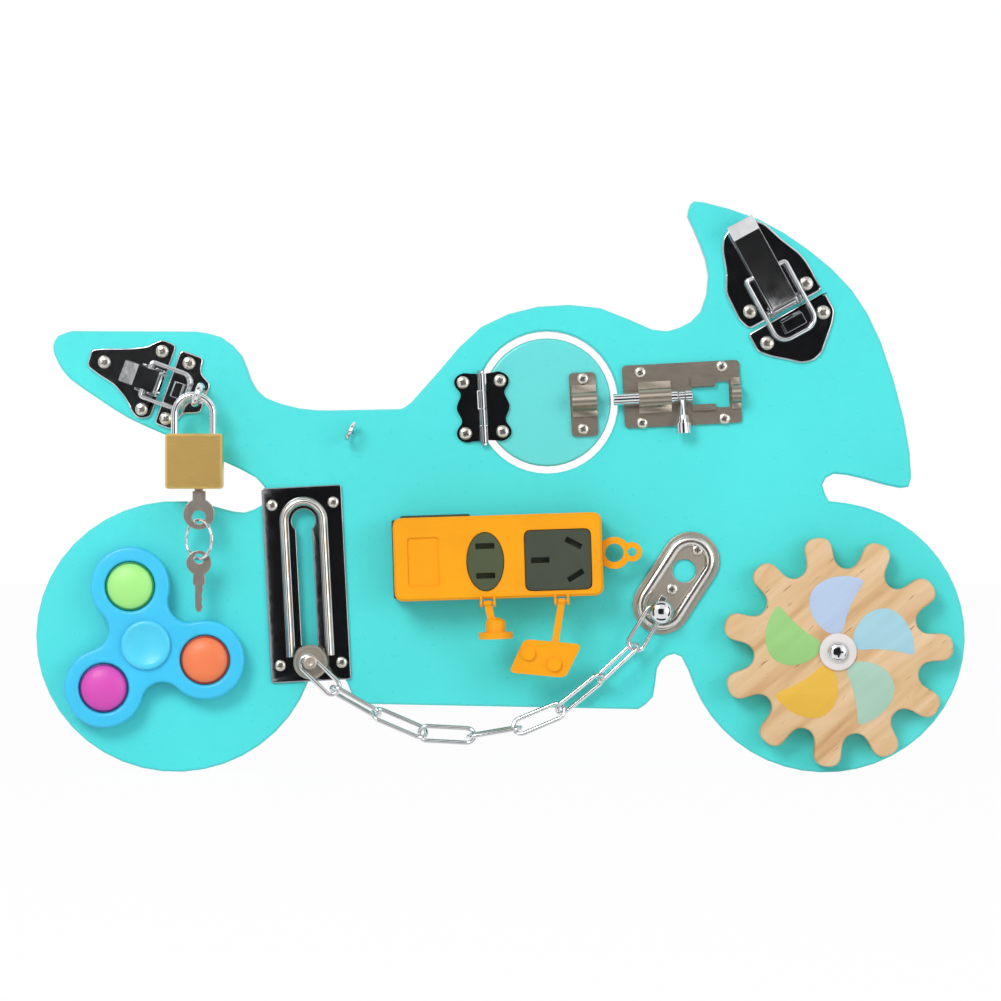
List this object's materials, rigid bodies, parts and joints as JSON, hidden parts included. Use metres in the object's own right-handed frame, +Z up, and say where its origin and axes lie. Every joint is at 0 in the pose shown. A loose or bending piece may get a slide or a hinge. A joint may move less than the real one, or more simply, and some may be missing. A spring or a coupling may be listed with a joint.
{
  "type": "busy board",
  "caption": "Motorcycle-shaped toy panel with hinged door, barrel bolt, toggle latch, hasp with padlock and keys, keyhole chain slide, socket toy, wooden gear and spinner.",
  "frame": {"origin": "on the panel's flat back face, below the round door at the panel's middle", "axes": "+X towards the front wheel, +Z up, +Y out of the panel's back; the fittings point towards -Y"},
  "size_m": [0.4, 0.0378, 0.246],
  "materials": {
    "teal": "glossy paint on plywood",
    "pale_teal": "glossy paint on plywood",
    "black_chrome": "dark polished plating",
    "chrome": "polished",
    "steel": "brushed nickel",
    "brass": "satin",
    "orange_plastic": "moulded",
    "grey_plastic": "moulded",
    "sage_plastic": "moulded",
    "natural_wood": "lacquered",
    "white_plastic": "moulded",
    "sky_plastic": "moulded",
    "green_silicone": "soft satin",
    "orange_silicone": "soft satin",
    "magenta_silicone": "soft satin"
  },
  "bodies": {
    "board": {"board_panel": "teal", "hinge_leaf_fixed": "black_chrome", "hinge_pin": "black_chrome", "bolt_housing": "steel", "latch_base": "black_chrome", "latch_keeper": "black_chrome", "latch_pin": "chrome", "hasp_base": "chrome", "hasp_staple": "chrome", "hasp_pin": "chrome", "track_plate": "black_chrome", "anchor_plate": "steel", "socket_base": "grey_plastic", "socket_case": "orange_plastic", "socket_insert_oval": "sage_plastic", "socket_insert_square": "grey_plastic", "socket_hang_loop": "orange_plastic", "gear_spacer": "white_plastic", "gear_washer": "white_plastic", "gear_axle_screw": "chrome", "spinner_post": "steel", "spinner_spacer": "white_plastic", "screw_eye": "chrome"},
    "door": {"door_disc": "pale_teal", "hinge_leaf_door": "black_chrome", "door_keeper": "steel"},
    "bolt": {"bolt_rod": "chrome"},
    "knob": {"bolt_knob": "chrome"},
    "latch_lever": {"latch_lever": "chrome"},
    "latch_bail": {"latch_bail": "chrome"},
    "hasp_lever": {"hasp_lever": "steel"},
    "hasp_bail": {"hasp_bail": "chrome"},
    "shackle": {"padlock_shackle": "chrome"},
    "lock_case": {"padlock_body": "brass"},
    "lock_key": {"lock_plug": "brass", "key_in_lock": "steel"},
    "key_ring": {"key_ring": "chrome"},
    "spare_key": {"spare_key": "steel"},
    "slide_button": {"slide_button": "steel"},
    "cap_round": {"cap_round": "orange_plastic"},
    "cap_square": {"cap_square": "orange_plastic"},
    "gear": {"gear_wheel": "natural_wood"},
    "spinner": {"spinner_body": "sky_plastic", "spinner_hub_cap": "sky_plastic"},
    "dome_green": {"dome_green": "green_silicone"},
    "dome_orange": {"dome_orange": "orange_silicone"},
    "dome_magenta": {"dome_magenta": "magenta_silicone"},
    "link_1": {"chain_link_1": "chrome"},
    "link_2": {"chain_link_2": "chrome"},
    "link_3": {"chain_link_3": "chrome"},
    "link_4": {"chain_link_4": "chrome"},
    "link_5": {"chain_link_5": "chrome"},
    "link_6": {"chain_link_6": "chrome"},
    "link_7": {"chain_link_7": "chrome"},
    "link_8": {"chain_link_8": "chrome"},
    "link_9": {"chain_link_9": "chrome"}
  },
  "joints": [
    {"name": "door_hinge", "type": "hinge", "parent": "board", "child": "door", "pos_m": [-0.00767, -0.011, 0.03439], "axis": [0.0523, 0, -0.9986], "range_deg": [0, 150]},
    {"name": "bolt_slide", "type": "slide", "parent": "board", "child": "bolt", "axis": [0.9986, 0, 0.0523], "range_m": [-0.0085, 0.016]},
    {"name": "knob_turn", "type": "hinge", "parent": "bolt", "child": "knob", "pos_m": [0.07783, -0.0142, 0.03896], "axis": [-0.9986, 0, -0.0523], "range_deg": [-2, 150]},
    {"name": "latch_open", "type": "hinge", "parent": "board", "child": "latch_lever", "pos_m": [0.12202, -0.013, 0.0778], "axis": [0.878, 0, 0.4787], "range_deg": [0, 100]},
    {"name": "latch_bail_swing", "type": "hinge", "parent": "latch_lever", "child": "latch_bail", "pos_m": [0.11388, -0.014, 0.09272], "axis": [0.878, 0, 0.4787], "range_deg": [-100, 0]},
    {"name": "hasp_open", "type": "hinge", "parent": "board", "child": "hasp_lever", "pos_m": [-0.14701, -0.013, 0.04453], "axis": [0.342, 0, 0.9397], "range_deg": [0, 45]},
    {"name": "hasp_bail_swing", "type": "hinge", "parent": "hasp_lever", "child": "hasp_bail", "pos_m": [-0.15227, -0.014, 0.04645], "axis": [0.342, 0, 0.9397], "range_deg": [-45, 0]},
    {"name": "padlock_swing", "type": "hinge", "parent": "board", "child": "shackle", "pos_m": [-0.13068, -0.0232, 0.03574], "axis": [0, -1, 0], "range_deg": [-20, 20]},
    {"name": "padlock_drop", "type": "slide", "parent": "shackle", "child": "lock_case", "axis": [0, 0, -1], "range_m": [0, 0.007]},
    {"name": "key_turn", "type": "hinge", "parent": "lock_case", "child": "lock_key", "pos_m": [-0.12883, -0.0232, -0.00086], "axis": [0, 0, 1], "range_deg": [0, 90]},
    {"name": "ring_swing", "type": "hinge", "parent": "lock_key", "child": "key_ring", "pos_m": [-0.12883, -0.0232, -0.01412], "axis": [0, -1, 0], "range_deg": [-10, 10]},
    {"name": "spare_key_swing", "type": "hinge", "parent": "key_ring", "child": "spare_key", "pos_m": [-0.12883, -0.0232, -0.03072], "axis": [0, -1, 0], "range_deg": [-10, 10]},
    {"name": "button_slide", "type": "slide", "parent": "board", "child": "slide_button", "axis": [-0.0523, 0, 0.9986], "range_m": [0, 0.044]},
    {"name": "round_cap_flip", "type": "hinge", "parent": "board", "child": "cap_round", "pos_m": [-0.00542, -0.0306, -0.04961], "axis": [-0.9995, 0, -0.0314], "range_deg": [0, 140]},
    {"name": "square_cap_flip", "type": "hinge", "parent": "board", "child": "cap_square", "pos_m": [0.02607, -0.0306, -0.04862], "axis": [-0.9995, 0, -0.0314], "range_deg": [0, 140]},
    {"name": "gear_spin", "type": "hinge", "parent": "board", "child": "gear", "pos_m": [0.14446, -0.015, -0.07061], "axis": [0, -1, 0], "continuous": true},
    {"name": "spinner_spin", "type": "hinge", "parent": "board", "child": "spinner", "pos_m": [-0.15178, -0.015, -0.0676], "axis": [0, -1, 0], "continuous": true},
    {"name": "dome_green_push", "type": "slide", "parent": "spinner", "child": "dome_green", "axis": [0, 1, 0], "range_m": [0, 0.004]},
    {"name": "dome_orange_push", "type": "slide", "parent": "spinner", "child": "dome_orange", "axis": [0, 1, 0], "range_m": [0, 0.004]},
    {"name": "dome_magenta_push", "type": "slide", "parent": "spinner", "child": "dome_magenta", "axis": [0, 1, 0], "range_m": [0, 0.004]},
    {"name": "link_9_turn", "type": "hinge", "parent": "board", "child": "link_9", "pos_m": [0.06652, -0.017, -0.05296], "axis": [0, -1, 0], "range_deg": [-22, 1]},
    {"name": "link_8_turn", "type": "hinge", "parent": "link_9", "child": "link_8", "pos_m": [0.05727, -0.017, -0.06833], "axis": [0, -1, 0], "range_deg": [-1, 4]},
    {"name": "link_7_turn", "type": "hinge", "parent": "link_8", "child": "link_7", "pos_m": [0.04263, -0.017, -0.08181], "axis": [0, -1, 0], "range_deg": [-4, 1]},
    {"name": "link_6_turn", "type": "hinge", "parent": "link_7", "child": "link_6", "pos_m": [0.02575, -0.017, -0.09537], "axis": [0, -1, 0], "range_deg": [-1, 5]},
    {"name": "link_5_turn", "type": "hinge", "parent": "link_6", "child": "link_5", "pos_m": [0.0071, -0.017, -0.10325], "axis": [0, -1, 0], "range_deg": [-4, 1]},
    {"name": "link_4_turn", "type": "hinge", "parent": "link_5", "child": "link_4", "pos_m": [-0.01253, -0.017, -0.10661], "axis": [0, -1, 0], "range_deg": [-1, 4]},
    {"name": "link_3_turn", "type": "hinge", "parent": "link_4", "child": "link_3", "pos_m": [-0.03337, -0.017, -0.10549], "axis": [0, -1, 0], "range_deg": [-1, 4]},
    {"name": "link_2_turn", "type": "hinge", "parent": "link_3", "child": "link_2", "pos_m": [-0.05309, -0.017, -0.09705], "axis": [0, -1, 0], "range_deg": [-26, 1]},
    {"name": "link_1_turn", "type": "hinge", "parent": "link_2", "child": "link_1", "pos_m": [-0.07109, -0.017, -0.08689], "axis": [0, -1, 0], "range_deg": [-1, 57]}
  ],
  "couplings": [
    {"joint": "latch_bail_swing", "follows": "latch_open", "ratio": -1},
    {"joint": "hasp_bail_swing", "follows": "hasp_open", "ratio": -1},
    {"joint": "link_9_turn", "follows": "button_slide", "rad_per_m": -7.966},
    {"joint": "link_8_turn", "follows": "button_slide", "rad_per_m": 1.008},
    {"joint": "link_7_turn", "follows": "button_slide", "rad_per_m": -1.141},
    {"joint": "link_6_turn", "follows": "button_slide", "rad_per_m": 1.237},
    {"joint": "link_5_turn", "follows": "button_slide", "rad_per_m": -0.933},
    {"joint": "link_4_turn", "follows": "button_slide", "rad_per_m": 1.034},
    {"joint": "link_3_turn", "follows": "button_slide", "rad_per_m": 1.024},
    {"joint": "link_2_turn", "follows": "button_slide", "rad_per_m": -9.727},
    {"joint": "link_1_turn", "follows": "button_slide", "rad_per_m": 22.119}
  ]
}
